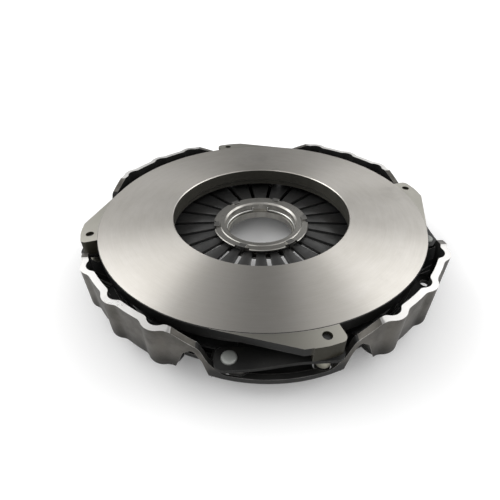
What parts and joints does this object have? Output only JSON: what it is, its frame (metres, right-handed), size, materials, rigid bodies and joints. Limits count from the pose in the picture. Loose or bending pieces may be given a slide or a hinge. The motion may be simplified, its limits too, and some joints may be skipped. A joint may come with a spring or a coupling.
{
  "type": "clutch pressure plate",
  "caption": "Pull-type diaphragm clutch cover with a ground pressure plate on leaf straps, a scalloped bolt rim and a release ring at the finger tips.",
  "frame": {"origin": "shaft axis, in the plane of the cover's back face", "axes": "+Z along the shaft towards the flywheel; the four drive straps are centred on the X and Y axes"},
  "size_m": [0.476, 0.476, 0.074],
  "materials": {
    "cover_iron": "black painted casting, bare on the outside, machined rim edge",
    "plate_iron": "cast iron with a ground friction face",
    "spring_steel": "dark oiled spring steel",
    "wire_steel": "drawn wire",
    "rivet_steel": "zinc plated",
    "zinc_steel": "zinc plated",
    "bolt_steel": "zinc plated",
    "ring_steel": "turned steel, satin",
    "pin_steel": "ground pin",
    "snap_steel": "bright wire",
    "retainer_steel": "pressed steel",
    "strap_steel": "blued spring steel strip"
  },
  "bodies": {
    "cover": {"cover": "cover_iron", "pivot_wire": "wire_steel", "strap_rivets": "rivet_steel", "diaphragm_spring": "spring_steel", "strap_right_leaf_1": "strap_steel", "strap_right_leaf_2": "strap_steel", "strap_right_leaf_3": "strap_steel", "strap_rear_leaf_1": "strap_steel", "strap_rear_leaf_2": "strap_steel", "strap_rear_leaf_3": "strap_steel", "strap_left_leaf_1": "strap_steel", "strap_left_leaf_2": "strap_steel", "strap_left_leaf_3": "strap_steel", "strap_front_leaf_1": "strap_steel", "strap_front_leaf_2": "strap_steel", "strap_front_leaf_3": "strap_steel"},
    "plate": {"pressure_plate": "plate_iron", "strap_sleeves": "zinc_steel", "strap_bolts": "bolt_steel"},
    "release": {"release_ring": "ring_steel", "ring_pin": "pin_steel", "snap_ring": "snap_steel", "finger_retainer": "retainer_steel"}
  },
  "joints": [
    {"name": "plate_travel", "type": "slide", "parent": "cover", "child": "plate", "axis": [0, 0, 1], "range_m": [-0.008, 0], "stiffness_N_per_m": 2000000, "deforming": ["strap_right_leaf_1", "strap_right_leaf_2", "strap_right_leaf_3", "strap_rear_leaf_1", "strap_rear_leaf_2", "strap_rear_leaf_3", "strap_left_leaf_1", "strap_left_leaf_2", "strap_left_leaf_3", "strap_front_leaf_1", "strap_front_leaf_2", "strap_front_leaf_3"]},
    {"name": "release_travel", "type": "slide", "parent": "cover", "child": "release", "axis": [0, 0, 1], "range_m": [-0.04, 0], "deforming": ["diaphragm_spring"]}
  ],
  "couplings": [
    {"joint": "release_travel", "follows": "plate_travel", "ratio": 5}
  ]
}
